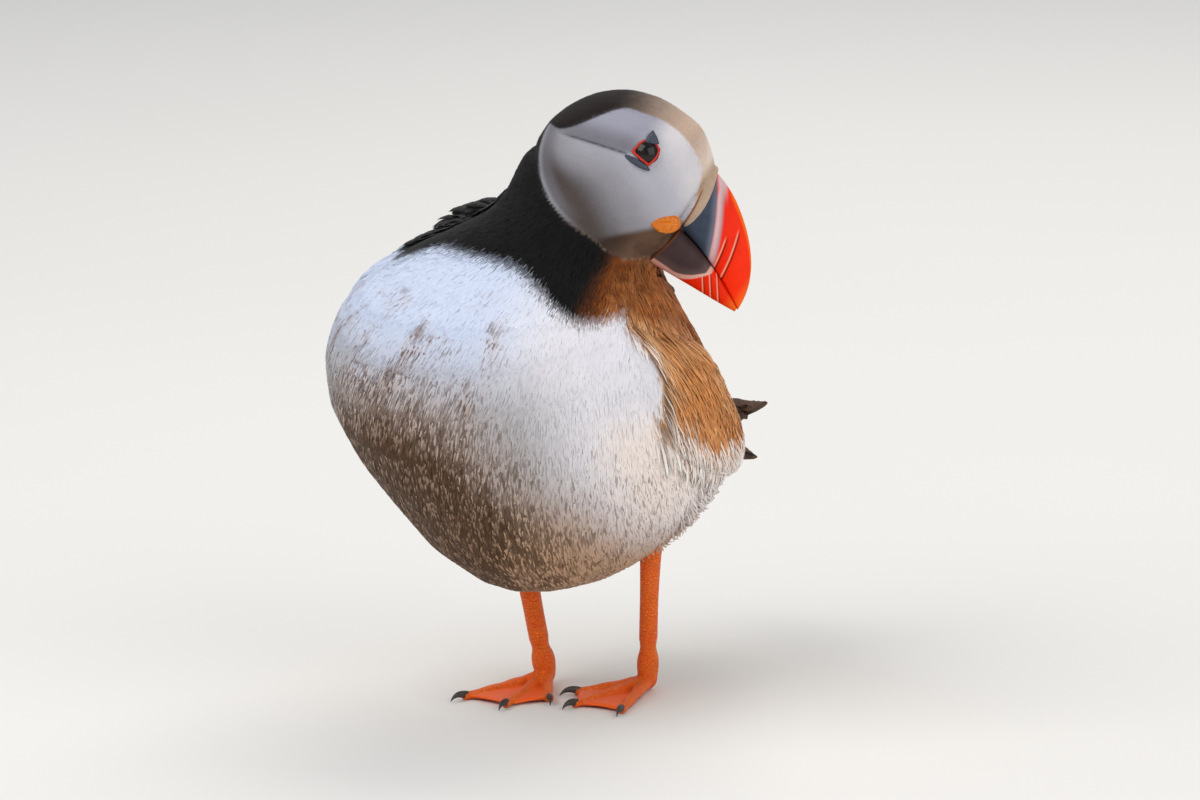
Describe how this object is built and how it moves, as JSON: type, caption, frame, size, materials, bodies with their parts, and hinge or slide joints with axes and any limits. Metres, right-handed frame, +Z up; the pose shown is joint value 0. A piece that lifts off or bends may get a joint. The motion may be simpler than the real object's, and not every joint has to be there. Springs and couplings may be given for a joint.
{
  "type": "atlantic puffin",
  "caption": "Still, life-size seabird standing on webbed feet, head turned over its left shoulder, with a deep arched bill and folded wings.",
  "frame": {"origin": "under the middle of the bird's bounding box, on the floor", "axes": "-Y is the way the trunk faces, +X is the bird's left, +Z is up; the bill points towards +X and a little towards +Y"},
  "size_m": [0.1414, 0.1832, 0.2109],
  "materials": {
    "white_feather": "soft, downy",
    "black_feather": "soft, slightly glossy",
    "brown_feather": "soft, slightly glossy",
    "cheek_feather": "very fine, velvety",
    "bill_red": "horn, grooved, satin",
    "bill_grey": "horn, satin",
    "cere_skin": "pitted, matt",
    "rosette_skin": "wrinkled, matt",
    "eye_dark": "wet, glossy",
    "eye_ring_skin": "matt",
    "leg_skin": "scaled, satin",
    "claw_horn": "satin"
  },
  "bodies": {
    "root": {"bill_lower": "bill_grey", "bill_upper": "bill_red", "cere": "cere_skin", "claw_left_inner": "claw_horn", "claw_left_middle": "claw_horn", "claw_left_outer": "claw_horn", "claw_right_inner": "claw_horn", "claw_right_middle": "claw_horn", "claw_right_outer": "claw_horn", "eye_left": "eye_dark", "eye_right": "eye_dark", "eye_ring_left": "eye_ring_skin", "eye_ring_right": "eye_ring_skin", "foot_left": "leg_skin", "foot_right": "leg_skin", "head": "cheek_feather", "leg_left": "leg_skin", "leg_right": "leg_skin", "neck": "black_feather", "rosette_left": "rosette_skin", "rosette_right": "rosette_skin", "tail": "black_feather", "trunk": "white_feather", "wing_left": "brown_feather", "wing_right": "brown_feather"}
  },
  "joints": []
}
